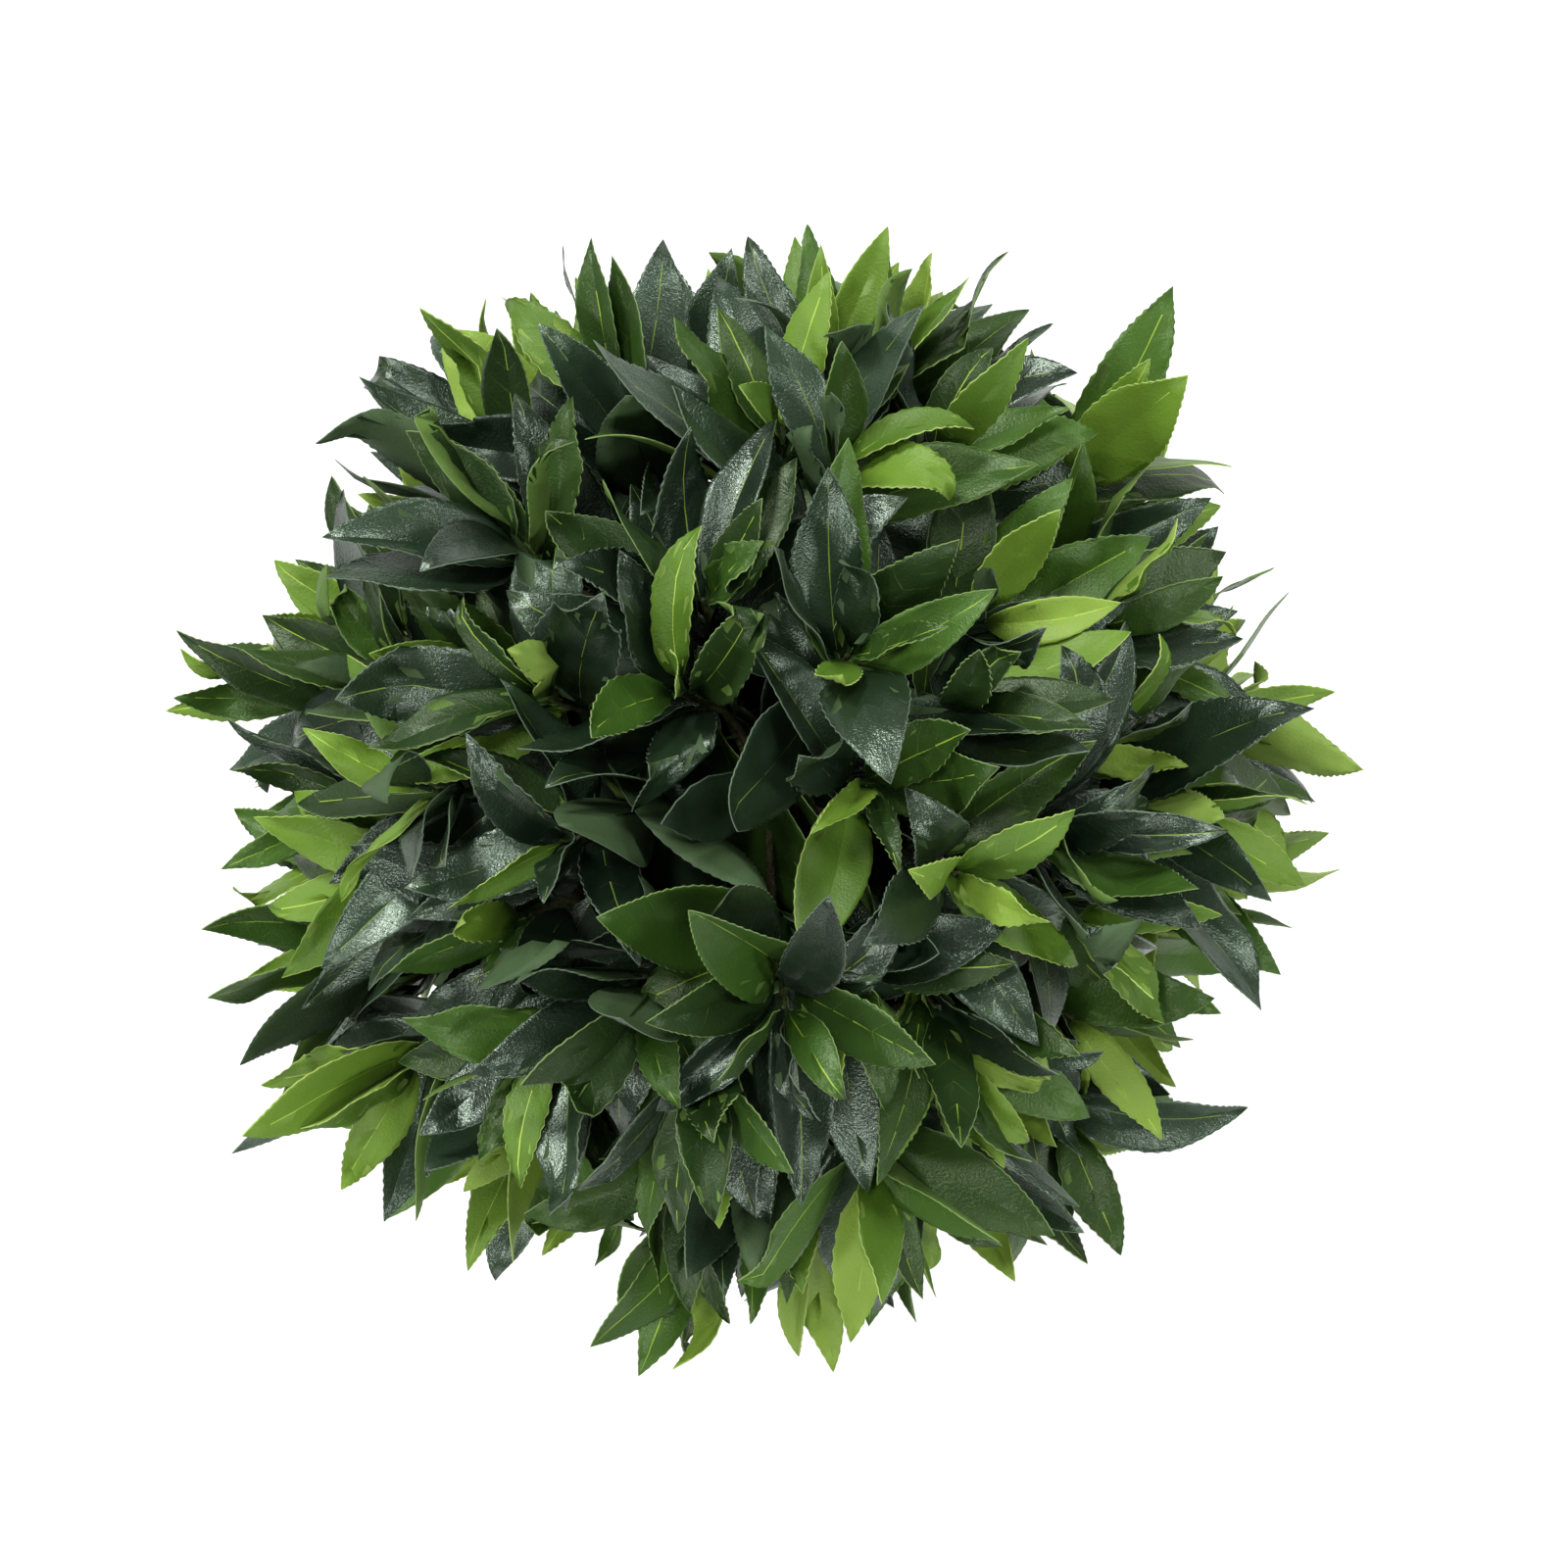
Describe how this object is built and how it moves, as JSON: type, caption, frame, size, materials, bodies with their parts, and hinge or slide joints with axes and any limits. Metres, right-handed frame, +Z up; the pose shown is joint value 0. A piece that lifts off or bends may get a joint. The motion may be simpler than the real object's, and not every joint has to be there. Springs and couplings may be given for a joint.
{
  "type": "artificial standard laurel topiary",
  "caption": "Artificial laurel standard: a straight bare stem that carries a dense ball of lance-shaped fabric leaves on short wire boughs.",
  "frame": {"origin": "centre of the flat cut under the stem, at ground level", "axes": "+Z up along the stem to the crown; X and Y level, with no set front because the crown is round"},
  "size_m": [0.4519, 0.4514, 1.1985],
  "materials": {
    "trunk_bark": "rough brown bark",
    "bough_bark": "matt brown-green covered wire",
    "foliage": "satin printed fabric leaves, dark blue-green to light green"
  },
  "bodies": {
    "root": {"trunk": "trunk_bark", "bough_upper_1": "bough_bark", "bough_upper_2": "bough_bark", "bough_upper_3": "bough_bark", "bough_upper_4": "bough_bark", "bough_upper_5": "bough_bark", "bough_upper_6": "bough_bark", "bough_middle_1": "bough_bark", "bough_middle_2": "bough_bark", "bough_middle_3": "bough_bark", "bough_middle_4": "bough_bark", "bough_middle_5": "bough_bark", "bough_middle_6": "bough_bark", "bough_middle_7": "bough_bark", "bough_middle_8": "bough_bark", "bough_lower_1": "bough_bark", "bough_lower_2": "bough_bark", "bough_lower_3": "bough_bark", "bough_lower_4": "bough_bark", "bough_lower_5": "bough_bark", "bough_lower_6": "bough_bark", "crown_top": "foliage", "crown_upper_1": "foliage", "crown_upper_2": "foliage", "crown_upper_3": "foliage", "crown_upper_4": "foliage", "crown_upper_5": "foliage", "crown_upper_6": "foliage", "crown_middle_1": "foliage", "crown_middle_2": "foliage", "crown_middle_3": "foliage", "crown_middle_4": "foliage", "crown_middle_5": "foliage", "crown_middle_6": "foliage", "crown_middle_7": "foliage", "crown_middle_8": "foliage", "crown_lower_1": "foliage", "crown_lower_2": "foliage", "crown_lower_3": "foliage", "crown_lower_4": "foliage", "crown_lower_5": "foliage", "crown_lower_6": "foliage"}
  },
  "joints": []
}
